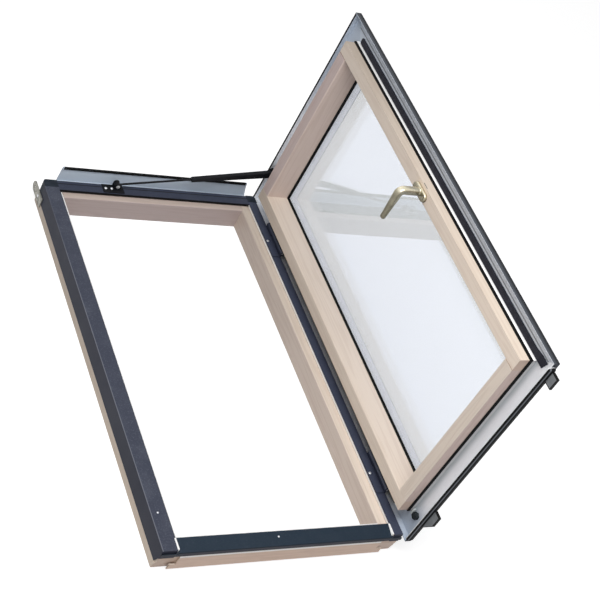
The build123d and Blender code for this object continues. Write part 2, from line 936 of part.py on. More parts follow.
def handle_spindle():
    half = spindle_side / 2
    square = rectangle((spindle_x - half, -half), (spindle_x + half, half))
    start = sash_front - neck_seat
    return along_z(square, start, start + spindle_length)


def lock_case():
    half = case_width / 2
    plan = rectangle((spindle_x - half, -case_length / 2), (spindle_x + half, case_length / 2))
    top = sash_front + case_height
    case = along_z(plan, sash_front, top)
    case -= rod_z(spindle_x, 0, spindle_bore, sash_front - overrun, top + overrun)
    return case - bolt_slot(spindle_x - half - overrun, bolt_end + bolt_clearance)


def lock_bolt():
    # Flat tongue whose forked tail straddles the spindle
    fork = spindle_bore + bolt_clearance
    tongue = rectangle((bolt_start, -bolt_width / 2), (bolt_end, bolt_width / 2))
    tongue -= rectangle((spindle_x - fork, -fork), (bolt_end + overrun, fork))
    return along_z(tongue, bolt_floor, bolt_floor + bolt_thickness)


def lock_keeper():
    # Strike plate on the riser of the lock-side jamb, with a slot for the bolt
    back = lock_riser - half_width
    front = back + keeper_depth
    top = ledge_height + keeper_height
    body = soften(rectangle((back, ledge_height), (front, top)), (front, top), keeper_round)
    return along_y(body, -keeper_length / 2, keeper_length / 2) - bolt_slot(back - overrun, front + overrun)


placed_parts = {
    "jamb_lock_side": jamb(-1, lock_member, lock_cladding_width),
    "jamb_hinge_side": jamb(1, frame_member, hinge_cladding_width),
    "head_rail": head_rail(),
    "sill_rail": sill_rail(),
    "jamb_cladding_lock_side": jamb_cladding(-1, lock_cladding_width),
    "jamb_cladding_hinge_side": jamb_cladding(1, hinge_cladding_width),
    "head_cladding": head_cladding(),
    "sill_cladding": sill_cladding(),
    "sill_end_seals": sill_end_seals(),
    "frame_gasket": frame_gasket(),
    "corner_cap_lock_side": corner_cap(-1, lock_cladding_width),
    "corner_cap_hinge_side": corner_cap(1, hinge_cladding_width),
    "rain_hood": rain_hood(),
    "mounting_strap_lock_side": mounting_strap(-1),
    "mounting_strap_hinge_side": mounting_strap(1),
    "strap_screws": strap_screws(),
    "hinge_frame_leaf_upper": hinge_frame_leaf(hinge_spread),
    "hinge_frame_leaf_lower": hinge_frame_leaf(-hinge_spread),
    "hinge_pin_upper": hinge_pin(hinge_spread),
    "hinge_pin_lower": hinge_pin(-hinge_spread),
    "hinge_frame_screws": hinge_frame_screws(),
    "hinge_sash_screws": hinge_sash_screws(),
    "hold_down_clips": hold_down_clips(),
    "setting_blocks": setting_blocks(),
    "lock_keeper": lock_keeper(),
    "stay_bracket": stay_bracket(),
    "stay_bracket_screws": stay_bracket_screws(),
    "stay_pin": stay_pin(),
    "stay_rod": stay_rod(),
    "stay_sleeve": stay_sleeve(),
}

seal_inner = glass_inset + edge_seal_width
closed_sash_parts = {
    "hinge_stile": stile(sash_hinge_side, -1),
    "lock_stile": lock_stile(),
    "sash_top_rail": sash_rail(1),
    "sash_bottom_rail": sash_rail(-1),
    "inner_pane": glass_pane(inner_pane_floor),
    "outer_pane": glass_pane(outer_pane_floor),
    "glass_edge_seal": sash_ring(glass_inset, seal_inner, cavity_floor, outer_pane_floor),
    "glass_spacer": sash_ring(seal_inner, seal_inner + spacer_width, cavity_floor, outer_pane_floor),
    "inner_glazing_gasket": sash_ring(
        glass_inset, sash_member + bed_gasket_show, rebate_floor, inner_pane_floor
    ),
    "outer_glazing_gasket": sash_ring(glass_inset, cover_inner, glass_top, cover_floor),
    "cover_lock_side": Pos(sash_lock_side, 0, 0) * cover_bar(sash_half),
    "cover_hinge_side": Pos(sash_hinge_side, 0, 0) * Rot(0, 0, 180) * cover_bar(sash_half),
    "cover_top": Pos(sash_middle, sash_half, 0) * Rot(0, 0, -90) * cover_bar(sash_width / 2),
    "cover_bottom": Pos(sash_middle, -sash_half, 0) * Rot(0, 0, 90) * cover_bar(sash_width / 2),
    "seal_carrier": sash_ring(-seal_proud, 0, carrier_floor, flange_height),
    "sash_seal": sash_ring(-seal_proud, 0, seal_floor, carrier_floor),
    "lock_side_bulb": lock_side_bulb(),
    "drip_rail": drip_rail(),
    "corner_buffer": corner_buffer(),
    "hinge_side_strip": hinge_side_strip(),
    "hinge_sash_leaf_upper": hinge_sash_leaf(hinge_spread),
    "hinge_sash_leaf_lower": hinge_sash_leaf(-hinge_spread),
    "stay_sash_bracket": stay_sash_bracket(),
    "stay_rivet": stay_rivet(),
    "handle_rose": handle_rose(),
    "handle_lever": handle_lever(),
    "handle_spindle": handle_spindle(),
    "lock_case": lock_case(),
    "lock_bolt": lock_bolt(),
}

os.makedirs("parts", exist_ok=True)
for name, shape in placed_parts.items():
    export_step(shape, f"parts/{name}.step")
for name, shape in closed_sash_parts.items():
    export_step(swing_open(shape), f"parts/{name}.step")
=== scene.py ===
import bmesh
import bpy
import numpy as np
from mathutils import Matrix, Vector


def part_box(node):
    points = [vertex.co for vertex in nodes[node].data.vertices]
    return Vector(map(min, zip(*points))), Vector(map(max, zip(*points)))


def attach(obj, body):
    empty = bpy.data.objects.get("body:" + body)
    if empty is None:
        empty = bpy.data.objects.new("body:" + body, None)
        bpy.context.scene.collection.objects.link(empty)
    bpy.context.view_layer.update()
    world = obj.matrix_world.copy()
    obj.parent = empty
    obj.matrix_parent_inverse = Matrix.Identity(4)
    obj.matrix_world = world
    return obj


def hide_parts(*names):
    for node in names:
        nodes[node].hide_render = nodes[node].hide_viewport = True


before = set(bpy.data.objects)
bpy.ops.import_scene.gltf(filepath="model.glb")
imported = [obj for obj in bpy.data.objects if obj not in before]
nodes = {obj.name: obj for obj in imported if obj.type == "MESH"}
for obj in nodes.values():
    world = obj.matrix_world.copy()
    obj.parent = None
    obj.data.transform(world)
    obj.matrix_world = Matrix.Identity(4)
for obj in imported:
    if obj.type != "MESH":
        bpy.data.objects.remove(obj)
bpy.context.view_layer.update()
scene = bpy.context.scene
print("frame loaded:", len(nodes), "nodes")

acrossAxis, slopeAxis, upAxis = 0, 1, 2  # lock side to hinge side, up the slope, out of the roof
faceLimit = 0.5  # a face looks along an axis when its normal has more than this of it


# shader maths

class Wire:
    # wraps one output socket; sums and products of wires add Math nodes
    def __init__(self, tree, socket=None):
        self.tree = tree
        self.socket = socket

    def add(self, kind, settings=None, sockets=None, out=0):
        node = self.tree.nodes.new(kind)
        for key, value in (settings or {}).items():
            setattr(node, key, value)
        for key, value in (sockets or {}).items():
            if isinstance(value, Wire):
                self.tree.links.new(value.socket, node.inputs[key])
            else:
                node.inputs[key].default_value = value
        return Wire(self.tree, node.outputs[out] if len(node.outputs) else None)

    def maths(self, operation, first, second=0.0, clamp=False):
        settings = {"operation": operation, "use_clamp": clamp}
        return self.add("ShaderNodeMath", settings, {0: first, 1: second})

    def __add__(self, other):
        return self.maths("ADD", self, other)

    def __radd__(self, other):
        return self.maths("ADD", other, self)

    def __sub__(self, other):
        return self.maths("SUBTRACT", self, other)

    def __rsub__(self, other):
        return self.maths("SUBTRACT", other, self)

    def __mul__(self, other):
        return self.maths("MULTIPLY", self, other)

    def __rmul__(self, other):
        return self.maths("MULTIPLY", other, self)

    def __pow__(self, other):
        return self.maths("POWER", self, other)

    def __gt__(self, other):
        return self.maths("GREATER_THAN", self, other)

    def __lt__(self, other):
        return self.maths("LESS_THAN", self, other)

    def clamped(self):
        return self.maths("ADD", self, 0.0, clamp=True)

    def size(self):
        return self.maths("ABSOLUTE", self)

    def least(self, other):
        return self.maths("MINIMUM", self, other)

    def wave(self):  # sine of the wire, from 0 to 1
        return self.maths("SINE", self) * 0.5 + 0.5

    def spread(self, low, high, toLow=0.0, toHigh=1.0):  # smooth step from low to high
        return self.add(
            "ShaderNodeMapRange",
            {"interpolation_type": "SMOOTHSTEP"},
            {"Value": self, "From Min": low, "From Max": high, "To Min": toLow, "To Max": toHigh},
        )

    def blend(self, low, high, kind="MIX"):  # a colour mix with this wire as its factor
        settings = {"data_type": "RGBA", "blend_type": kind}
        return self.add("ShaderNodeMix", settings, {0: self, 6: low, 7: high}, out=2)

    def scaled(self, factor):  # a colour or vector made larger or smaller
        return self.add("ShaderNodeVectorMath", {"operation": "SCALE"}, {0: self, "Scale": factor})

    def noise(self, scale, detail=2.0, roughness=0.5, stretch=(1, 1, 1), shift=(0, 0, 0)):
        at = self.add("ShaderNodeMapping", None, {"Vector": self, "Scale": stretch, "Location": shift})
        return self.add(
            "ShaderNodeTexNoise",
            None,
            {"Vector": at, "Scale": scale, "Detail": detail, "Roughness": roughness},
        )

    def parts(self):  # the three numbers of a vector
        return [self.add("ShaderNodeSeparateXYZ", None, {0: self}, out=number) for number in range(3)]

    def bump(self, strength, depth):
        return self.add("ShaderNodeBump", None, {"Height": self, "Strength": strength, "Distance": depth})

    def place(self):  # where a point lies, in Object coordinates
        return self.add("ShaderNodeTexCoord", out="Object")

    def facing(self):  # which way a face looks
        return self.add("ShaderNodeTexCoord", out="Normal")

    def plainRays(self):  # 1 for rays from the camera, off a mirror or through glass
        names = ("Is Camera Ray", "Is Glossy Ray", "Is Transmission Ray")
        seen, mirrored, through = (self.add("ShaderNodeLightPath", out=name) for name in names)
        return (seen + mirrored + through).clamped()


def linear(red, green, blue):  # a colour as seen on screen, 0 to 255, to the shader's own scale
    seen = np.array([red, green, blue]) / 255
    flat = np.where(seen <= 0.04045, seen / 12.92, ((seen + 0.055) / 1.055) ** 2.4)
    return (*[float(part) for part in flat], 1.0)


def newFinish(name):
    material = bpy.data.materials.new(name)
    material.use_nodes = True
    material.node_tree.nodes.clear()
    return material, Wire(material.node_tree)


def closeFinish(material, sockets):
    start = Wire(material.node_tree)
    shader = start.add("ShaderNodeBsdfPrincipled", None, sockets)
    start.add("ShaderNodeOutputMaterial", None, {"Surface": shader})
    return material


def dress(names, material):
    for name in names:
        slots = nodes[name].data.materials
        slots.clear()
        slots.append(material)


# timber

pine = {
    "pale": linear(227, 213, 199),
    "warm": linear(219, 203, 187),
    "late": linear(201, 181, 164),
    "endGrain": linear(204, 184, 165),
    # white of the strip on the inner edges, also the colour of a painted highlight line
    "primerAndHighlight": linear(254, 254, 253),
    # painted shadow: dark colour for the wood in the gap under the sheets
    "paintedGapShadow": linear(34, 38, 48),
    "highlightDrop": 0.003,  # how far below the white edge the painted highlight line lies
    "highlightHalf": 0.006,
    "slope": (-0.6, 0.6),  # painted light falloff: paler at the lower end, darker at the upper end
    "fade": (1.12, 0.86),  # how pale the stain is at those ends
    "upSlope": (-0.1, 0.6),  # where the painted light and shade on upper faces starts and ends
    "shade": (1.0, 0.955, 0.995),  # painted shade: a mauve cast on faces that look down the slope
    "endLimit": 0.8,  # an end face's normal has more than this of the grain's axis
    "ringScale": 46.0,
    "ringTurns": 34.0,
    "ringShare": 0.26,
    "fibreScale": 420.0,
    "fibreShare": 0.2,
    "patchScale": 6.0,
    "lengthShare": 0.04,
    "roughness": 0.46,
    "fibreRoughness": 0.12,
    "specular": 0.35,
    "bump": (0.18, 0.0003),
    "coat": 0.08,
    "coatRoughness": 0.3,
}
plain = (1.0, 1.0, 1.0)
# tint, shade, front and upFade are painted light and shade fitted to each member
timber = {  # each member's finish: the grain's axis, a shift of its pattern, and what sets it apart
    "jamb_lock_side": {
        "name": "pineLockJamb", "axis": slopeAxis, "shift": (0.0, 0.0, 0.0),
        "tint": (0.9, 0.88, 0.85), "primed": (acrossAxis, -0.2826, 0.055),
    },
    "jamb_hinge_side": {
        "name": "pineHingeJamb", "axis": slopeAxis, "shift": (3.1, 0.4, 1.7),
        "front": (0.92, 0.895, 0.91), "upFade": 0.1,
    },
    "head_rail": {
        "name": "pineHead", "axis": acrossAxis, "shift": (1.3, 2.2, 0.5),
        "tint": (0.915, 0.9, 0.955), "shade": (0.858, 0.847, 0.91),
    },
    "sill_rail": {
        "name": "pineSill", "axis": acrossAxis, "shift": (4.3, 0.7, 1.5),
        "tint": (0.9, 0.9, 0.9), "shade": (0.965, 0.83, 0.78), "primed": (slopeAxis, -0.5485, 0.055),
    },
    "hinge_stile": {
        "name": "pineHingeStile", "axis": slopeAxis, "shift": (5.3, 0.9, 2.6),
        "upFade": -0.07,
    },
    "lock_stile": {
        "name": "pineLockStile", "axis": slopeAxis, "shift": (7.7, 1.9, 0.2),
        "tint": (1.04, 1.04, 1.03), "front": (1.12, 1.12, 1.14), "upFade": 0.2,
    },
    "sash_top_rail": {
        "name": "pineTopRail", "axis": upAxis, "shift": (2.4, 4.2, 6.1),
        "tint": (0.9, 0.84, 0.93), "shade": (1.12, 1.14, 1.06),
    },
    "sash_bottom_rail": {
        "name": "pineBottomRail", "axis": upAxis, "shift": (8.2, 1.1, 3.4),
        "shade": (0.82, 0.75, 0.79),
    },
}


def pineFinish(name, axis, shift, tint=plain, shade=pine["shade"], front=plain, upFade=0.0, primed=None):
    # grain = noise drawn out along the member's length; end faces show rings instead; painted light falloff
    # pales the wood down the slope; shade is painted shade on faces that look that way, front is painted
    # light and shade on those that look to the lock side; upFade is painted shade on upper faces, growing up
    # the slope;
    # primed (axis, side, height) paints what stands above height, white on its inner side and a painted
    # shadow under the sheet, with a painted highlight line below it; tint is painted light and shade over the
    # member
    material, start = newFinish(name)
    place = start.place()
    at, look = place.parts(), start.facing().parts()
    # tint: painted light and shade over the whole member
    tones = {key: tuple(np.array(pine[key]) * (*tint, 1.0)) for key in ("pale", "warm", "late", "endGrain")}
    stretch = [1.0, 1.0, 1.0]
    stretch[axis] = pine["lengthShare"]
    rings = place.noise(pine["ringScale"], 2.0, 0.5, stretch, shift)
    bands = (rings * pine["ringTurns"]).wave()
    fibre = place.noise(pine["fibreScale"], 3.0, 0.6, stretch, shift)
    patches = place.noise(pine["patchScale"], 1.0, 0.5, stretch, shift)
    early = patches.spread(0.3, 0.7).blend(tones["pale"], tones["warm"])
    streak = bands.spread(0.5, 1.0) * pine["ringShare"] + fibre.spread(0.45, 0.8) * pine["fibreShare"]
    along = streak.clamped().blend(early, tones["late"])
    endTone = (fibre * 0.5 + bands * 0.35).clamped().blend(tones["endGrain"], tones["late"])
    colour = (look[axis].size() > pine["endLimit"]).blend(along, endTone)
    # painted light falloff along the slope: paler at the lower end, darker at the upper end
    colour = colour.scaled(at[slopeAxis].spread(*pine["slope"], *pine["fade"]))
    # painted shade on faces that look down the slope, set for each member
    downhill = look[slopeAxis] < -faceLimit
    colour = downhill.blend(colour, (*shade, 1.0), "MULTIPLY")
    # painted light and shade on faces that look to the lock side, set for each member
    colour = (look[acrossAxis] < -faceLimit).blend(colour, (*front, 1.0), "MULTIPLY")
    # painted shade on upper faces, growing towards the upper end; a negative share paints light instead
    if upFade != 0.0:
        darker = (look[upAxis] > faceLimit) * at[slopeAxis].spread(*pine["upSlope"], 0.0, upFade)
        colour = colour.scaled(1 - darker)
    if primed is not None:
        sideAxis, side, height = primed
        # painted highlight: a pale line just below the white edge, on faces that look down the slope
        paintedHighlight = (at[upAxis] - height + pine["highlightDrop"]).size().spread(pine["highlightHalf"], 0.0)
        colour = (paintedHighlight * downhill).blend(colour, pine["primerAndHighlight"])
        # above the height: white on the inner side, painted shadow under the sheet
        coat = (at[sideAxis] > side).blend(pine["paintedGapShadow"], pine["primerAndHighlight"])
        colour = (at[upAxis] > height).blend(colour, coat)
    relief = fibre * 0.6 + bands * 0.4
    return closeFinish(material, {
        "Base Color": colour,
        "Roughness": pine["roughness"] + fibre * pine["fibreRoughness"],
        "Specular IOR Level": pine["specular"],
        "Normal": relief.bump(*pine["bump"]),
        "Coat Weight": pine["coat"],
        "Coat Roughness": pine["coatRoughness"],
    })


for node, settings in timber.items():
    dress([node], pineFinish(**settings))
print("timber dressed")


# painted sheet

paint = {
    "cloudScale": 14.0,
    "cloudShare": 0.4,
    "speckleScale": 340.0,
    "speckleShare": 0.6,
    "roughness": 0.42,
    "smudgeScale": 9.0,
    "smudgeRoughness": 0.16,
    "peelScale": 900.0,
    "bump": (0.12, 0.0003),
    "specular": 0.16,
    "foldShare": 0.8,
    "foldSlope": (0.5, 0.2, 0.3),  # the painted light on the bends is weaker at the upper end
    # black for the cover's edge strip, also the colour of the painted shadow line along the head
    "blackTrimAndShadow": linear(12, 13, 15),
}
groove = {"y": 0.5776, "half": 0.0018, "core": 0.0006}  # painted shadow line along the head, near the hood


def sheetTones(tone, dust, fold, side):
    return {"tone": linear(*tone), "dust": linear(*dust), "fold": linear(*fold), "side": linear(*side)}


# tone and dust are the paint's own colours; fold is painted light on the bends, a highlight and on the sill a
# shade; side is painted shade for faces that look sideways
sheet = {
    "jamb": sheetTones((62, 66, 80), (92, 96, 108), (124, 127, 138), (20, 25, 44)),
    "hinge": sheetTones((64, 69, 87), (76, 81, 98), (94, 99, 114), (46, 50, 66)),
    "head": sheetTones((54, 59, 75), (68, 73, 88), (88, 93, 107), (44, 48, 62)),
    "sill": sheetTones((34, 47, 60), (48, 59, 71), (24, 28, 35), (34, 37, 48)),
    "hood": sheetTones((193, 204, 217), (176, 187, 200), (222, 229, 238), (193, 204, 217)),
}


def paintColour(place, tones):
    # two tones in soft clouds, with a fine speckle
    clouds = place.noise(paint["cloudScale"], 3.0, 0.6).spread(0.42, 0.8)
    speckle = place.noise(paint["speckleScale"], 2.0, 0.7).spread(0.5, 0.72)
    share = (clouds * paint["cloudShare"] + speckle * paint["speckleShare"]).clamped()
    return share.blend(tones["tone"], tones["dust"])


def paintCoat(material, place, colour, metallic=0.0):
    peel = place.noise(paint["peelScale"], 2.0, 0.5)
    smudge = place.noise(paint["smudgeScale"], 4.0, 0.65)
    return closeFinish(material, {
        "Base Color": colour,
        "Roughness": paint["roughness"] + smudge * paint["smudgeRoughness"],
        "Metallic": metallic,
        "Specular IOR Level": paint["specular"],
        "Normal": peel.bump(*paint["bump"]),
    })


def claddingFinish(name, tones, shadowLined=False):
    # one coat, with painted light on the bends, where a face looks both up and sideways, and painted shade on
    # faces that look sideways
    material, start = newFinish(name)
    place = start.place()
    at, look = place.parts(), start.facing().parts()
    sideways = (look[acrossAxis].size() + look[slopeAxis].size()).spread(0.25, 0.45)
    bend = sideways * look[upAxis].spread(0.2, 0.4) * look[upAxis].spread(0.97, 0.9)
    bend = bend * at[slopeAxis].spread(*paint["foldSlope"])
    # painted shade on faces that look sideways
    colour = look[upAxis].spread(0.3, 0.1).blend(paintColour(place, tones), tones["side"])
    # painted light on the bends: a highlight, on the sill a shade
    colour = (bend * paint["foldShare"]).blend(colour, tones["fold"])
    if shadowLined:
        # painted shadow line along the head
        off = (at[slopeAxis] - groove["y"]).size()
        colour = off.spread(groove["half"], groove["core"]).blend(colour, paint["blackTrimAndShadow"])
    return paintCoat(material, place, colour)


dress(["jamb_cladding_lock_side"], claddingFinish("jambPaint", sheet["jamb"]))
dress(
    ["jamb_cladding_hinge_side", "hinge_frame_leaf_upper", "hinge_frame_leaf_lower",
     "hinge_sash_leaf_upper", "hinge_sash_leaf_lower", "hinge_side_strip"],
    claddingFinish("hingePaint", sheet["hinge"]),
)
dress(["head_cladding"], claddingFinish("headPaint", sheet["head"], shadowLined=True))
dress(["sill_cladding"], claddingFinish("sillPaint", sheet["sill"]))
dress(["rain_hood"], claddingFinish("hoodPaint", sheet["hood"]))


# sash cover

cover = {
    "outer": {"tone": linear(44, 49, 59), "dust": linear(58, 63, 73)},
    "inner": {"tone": linear(247, 249, 253), "dust": linear(236, 239, 244)},
    # painted shade: a darker tone for the bare metal
    "paintedShade": {"tone": linear(196, 206, 220), "dust": linear(172, 183, 196)},
    "metallic": 0.45,
    "rootShade": linear(170, 178, 181),
    "rootY": (-0.566, -0.546, 0.0, 0.72),  # where the painted shade by the seal starts and ends, and its two shares
    "stripX": 0.3392,  # the black edge strip ends here
    # painted shade in the flange's crease
    "creaseShade": linear(112, 116, 122),
    "creaseZ": 0.7312,
    "creaseHalf": 0.0026,
    "creaseCore": 0.0008,
    "creaseShare": 0.8,
    # painted shade across the lip, darker towards its bend
    "lipTone": linear(72, 76, 83),
    "lipBend": linear(20, 22, 27),
    "lipX": (0.3505, 0.336),  # the lip's bend and its end
}
coverSides = {  # each side's inner face (axis, sign) and the stretch (axis, from, to) over which painted shade darkens its bare metal
    "cover_lock_side": {
        "name": "coverLockPaint", "inner": (upAxis, -1),
        "paintedShading": (slopeAxis, -3.0, 2.0), "trimmed": "lip",
    },
    "cover_hinge_side": {
        "name": "coverHingePaint", "inner": (upAxis, 1),
        "paintedShading": (slopeAxis, -0.46, -0.56),
    },
    "cover_top": {
        "name": "coverTopPaint", "inner": (slopeAxis, -1),
        "paintedShading": (upAxis, 0.35, 0.68), "trimmed": "strip",
    },
    "cover_bottom": {
        "name": "coverBottomPaint", "inner": (slopeAxis, 1),
        "paintedShading": (upAxis, 0.19, 0.1), "trimmed": "root",
    },
}


def coverFinish(name, inner, paintedShading, trimmed=None):
    # dark outside, bare pale metal on faces that look at the room or inwards; painted shade darkens the bare
    # metal along one axis and takes away its metallic share there
    material, start = newFinish(name)
    place = start.place()
    at, look = place.parts(), start.facing().parts()
    innerAxis, sign = inner
    shadeAxis, shadeFrom, shadeTo = paintedShading
    bare = ((look[acrossAxis] < -faceLimit) + (look[innerAxis] * sign > faceLimit)).clamped()
    # painted shade on the bare metal, growing along one axis
    paintedShade = at[shadeAxis].spread(shadeFrom, shadeTo)
    pale = paintedShade.blend(paintColour(place, cover["inner"]), paintColour(place, cover["paintedShade"]))
    if trimmed == "root":  # painted shade, greyer towards the seal
        pale = at[slopeAxis].spread(*cover["rootY"]).blend(pale, cover["rootShade"])
    colour = bare.blend(paintColour(place, cover["outer"]), pale)
    if trimmed == "strip":  # black strip at the lip's end
        colour = (at[acrossAxis] < cover["stripX"]).blend(colour, paint["blackTrimAndShadow"])
    if trimmed == "lip":  # painted shade in a crease in the flange, and painted shade that darkens the lip towards its bend
        off = (at[upAxis] - cover["creaseZ"]).size()
        crease = off.spread(cover["creaseHalf"], cover["creaseCore"]) * bare
        colour = (crease * cover["creaseShare"]).blend(colour, cover["creaseShade"])
        # painted shade: the lip darkens towards its bend
        lip = at[acrossAxis].spread(*cover["lipX"]).blend(cover["lipBend"], cover["lipTone"])
        colour = (look[upAxis] > faceLimit).blend(colour, lip)
    return paintCoat(material, place, colour, bare * (1 - paintedShade) * cover["metallic"])


for node, settings in coverSides.items():
    dress([node], coverFinish(**settings))
print("painted sheet dressed")


# rubber and plastic

soft = {
    "bloomScale": 40.0,
    "grainScale": 1500.0,
    "grainRoughness": 0.15,
    "specular": 0.15,
    "bump": (0.15, 0.0002),
    "jambReach": 0.5535,  # how far along the slope the stretches beside the jambs reach, from the middle
}
rubber = {"tone": linear(7, 7, 7), "bloom": linear(16, 16, 17), "roughness": 0.65}
bulb = {"tone": linear(40, 41, 50), "bloom": linear(54, 55, 66), "roughness": 0.5}
buffer = {"tone": linear(32, 38, 41), "bloom": linear(58, 64, 68), "roughness": 0.6}
moulded = {"tone": linear(4, 5, 7), "bloom": linear(12, 13, 16), "roughness": 0.55}
cap = {"tone": linear(34, 41, 51), "bloom": linear(46, 54, 64), "roughness": 0.5}
foam = {
    "tone": linear(253, 253, 252),
    "bloom": linear(249, 249, 248),
    "roughness": 0.7,
    # painted light: faces that look to the lock side glow
    "glow": 0.3,
    "lit": (acrossAxis, -2.0, -0.5),
}
carrier = {
    **foam,
    # painted light on faces that look up, painted shade on faces that look down the slope, and the painted
    # light thinning out towards the upper end
    "lit": (upAxis, 0.5, 2.0),
    "shade": (0.6, 0.6, 0.61, 1.0),
    "fade": (0.55, -0.1),
}
greyRubber = {
    "tone": linear(212, 213, 218),
    "bloom": linear(204, 205, 212),
    "roughness": 0.6,
    # painted light: all faces glow but those that look away from the lock side
    "glow": 1.0,
    "lit": (acrossAxis, -2.0, 0.5),
}
clip = {
    "tone": linear(124, 127, 130),
    "bloom": linear(146, 149, 152),
    "roughness": 0.5,
    "rim": 0.0036,
    "width": 0.034,
    "wing": 0.036,  # how far the lower clip spreads at its root
}


def softTone(place, settings):
    bloom = place.noise(soft["bloomScale"], 3.0, 0.6)
    return bloom.spread(0.4, 0.8).blend(settings["tone"], settings["bloom"])


def softCoat(place, colour, roughness):
    # a fine grain in roughness and bump
    grain = place.noise(soft["grainScale"], 1.0, 0.5)
    return {
        "Base Color": colour,
        "Roughness": roughness + grain * soft["grainRoughness"],
        "Specular IOR Level": soft["specular"],
        "Normal": grain.bump(*soft["bump"]),
    }


def softFinish(name, settings, beside=None):
    # even matte colour with a faint bloom; beside gives another colour to the stretches beside the jambs,
    # shade is painted shade multiplied onto faces that look down the slope, and glow is painted light on
    # faces whose normal, along the axis that lit names, lies between its two numbers, less and less over the
    # stretch that fade gives
    material, start = newFinish(name)
    place = start.place()
    at, look = place.parts(), start.facing().parts()
    colour = softTone(place, settings)
    if "shade" in settings:
        colour = (look[slopeAxis] < -faceLimit).blend(colour, settings["shade"], "MULTIPLY")
    if beside is not None:
        colour = (at[slopeAxis].size() < soft["jambReach"]).blend(colour, softTone(place, beside))
    sockets = softCoat(place, colour, settings["roughness"])
    if "glow" in settings:
        axis, least, most = settings["lit"]
        lit = (look[axis] > least) * (look[axis] < most)
        if "fade" in settings:
            lit = lit * at[slopeAxis].spread(*settings["fade"])
        # painted light: lit faces glow in their own colour
        sockets["Emission Color"] = lit.blend((0, 0, 0, 1), colour)
        sockets["Emission Strength"] = settings["glow"]
    return closeFinish(material, sockets)


def clipFinish(name):
    # grey face towards the room with a black rim along the tip and both sides; the lower clip has a
    # slanted side
    material, start = newFinish(name)
    place = start.place()
    at = place.parts()
    low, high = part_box("hold_down_clips")
    lower = at[upAxis] < (low[upAxis] + high[upAxis]) / 2
    slope = clip["wing"] / (high[slopeAxis] - low[slopeAxis])
    slant = (high[slopeAxis] - at[slopeAxis]) * slope + low[upAxis]
    top = lower * (low[upAxis] + clip["wing"] + clip["width"]) + (1 - lower) * high[upAxis]
    bottom = lower * slant + (1 - lower) * (high[upAxis] - clip["width"])
    fromRim = (top - at[upAxis]).least(at[upAxis] - bottom).least(at[slopeAxis] - low[slopeAxis])
    towardsRoom = start.facing().parts()[acrossAxis] < -faceLimit
    face = fromRim.spread(clip["rim"] / 2, clip["rim"]) * towardsRoom
    colour = face.blend(rubber["tone"], softTone(place, clip))
    return closeFinish(material, softCoat(place, colour, clip["roughness"]))


blackRubber = softFinish("blackRubber", rubber)
dress(["inner_glazing_gasket", "glass_spacer", "glass_edge_seal", "setting_blocks"], blackRubber)
dress(["corner_buffer"], softFinish("bufferRubber", buffer))
dress(["lock_side_bulb"], softFinish("bulbRubber", bulb))
dress(["frame_gasket"], softFinish("frameGasket", rubber, foam))
dress(["sill_end_seals"], softFinish("paleFoam", foam))
dress(["seal_carrier"], softFinish("carrierMetal", carrier))
dress(["outer_glazing_gasket"], softFinish("greyRubber", greyRubber))
dress(["corner_cap_lock_side", "corner_cap_hinge_side"], softFinish("capPlastic", cap))
dress(["hold_down_clips"], clipFinish("clipPlastic"))


# metals

zinc = {
    "tone": linear(158, 156, 147),
    "spangle": linear(124, 123, 117),
    "spangleScale": 140.0,
    "roughness": 0.42,
    "spangleRoughness": 0.2,
    "metallic": 0.7,
}
steel = {
    "tone": linear(206, 208, 212),
    "worn": linear(232, 234, 238),
    "cloudScale": 60.0,
    "roughness": 0.3,
}
brass = {
    "tone": linear(152, 146, 126),
    "worn": linear(190, 184, 164),
    "cloudScale": 30.0,
    "roughness": 0.2,
    "metallic": 0.9,
    # painted highlight on faces that look up, painted shade on faces that look down
    "above": (2.1, 2.1, 2.14, 1.0),
    "below": (0.4, 0.39, 0.36, 1.0),
}
blackSteel = {"tone": linear(9, 10, 15), "bloom": linear(22, 25, 32), "roughness": 0.45}
polish = {"scale": 700.0, "roughness": 0.12, "bump": (0.06, 0.0002)}  # fine marks on steel and brass


def polishedCoat(place, colour, settings):
    fine = place.noise(polish["scale"], 2.0, 0.6)
    return {
        "Base Color": colour,
        "Roughness": settings["roughness"] + fine * polish["roughness"],
        "Metallic": settings.get("metallic", 1.0),
        "Normal": fine.bump(*polish["bump"]),
    }


def wornTone(place, settings):
    clouds = place.noise(settings["cloudScale"], 4.0, 0.65)
    return clouds.spread(0.35, 0.75).blend(settings["tone"], settings["worn"])


def steelFinish(name):
    material, start = newFinish(name)
    place = start.place()
    return closeFinish(material, polishedCoat(place, wornTone(place, steel), steel))


def brassFinish(name):
    # satin brass with a painted highlight on top and painted shade underneath
    material, start = newFinish(name)
    place = start.place()
    upward = start.facing().parts()[upAxis]
    colour = upward.spread(0.2, 0.9).blend(wornTone(place, brass), brass["above"], "MULTIPLY")
    colour = upward.spread(0.4, -0.4).blend(colour, brass["below"], "MULTIPLY")
    return closeFinish(material, polishedCoat(place, colour, brass))


def zincFinish(name):
    # zinc spangle: flat crystal cells, each with its own brightness
    material, start = newFinish(name)
    sockets = {"Vector": start.place(), "Scale": zinc["spangleScale"]}
    tone = start.add("ShaderNodeTexVoronoi", None, sockets, out="Color").parts()[0]
    return closeFinish(material, {
        "Base Color": tone.blend(zinc["tone"], zinc["spangle"]),
        "Roughness": zinc["roughness"] + tone * zinc["spangleRoughness"],
        "Metallic": zinc["metallic"],
    })


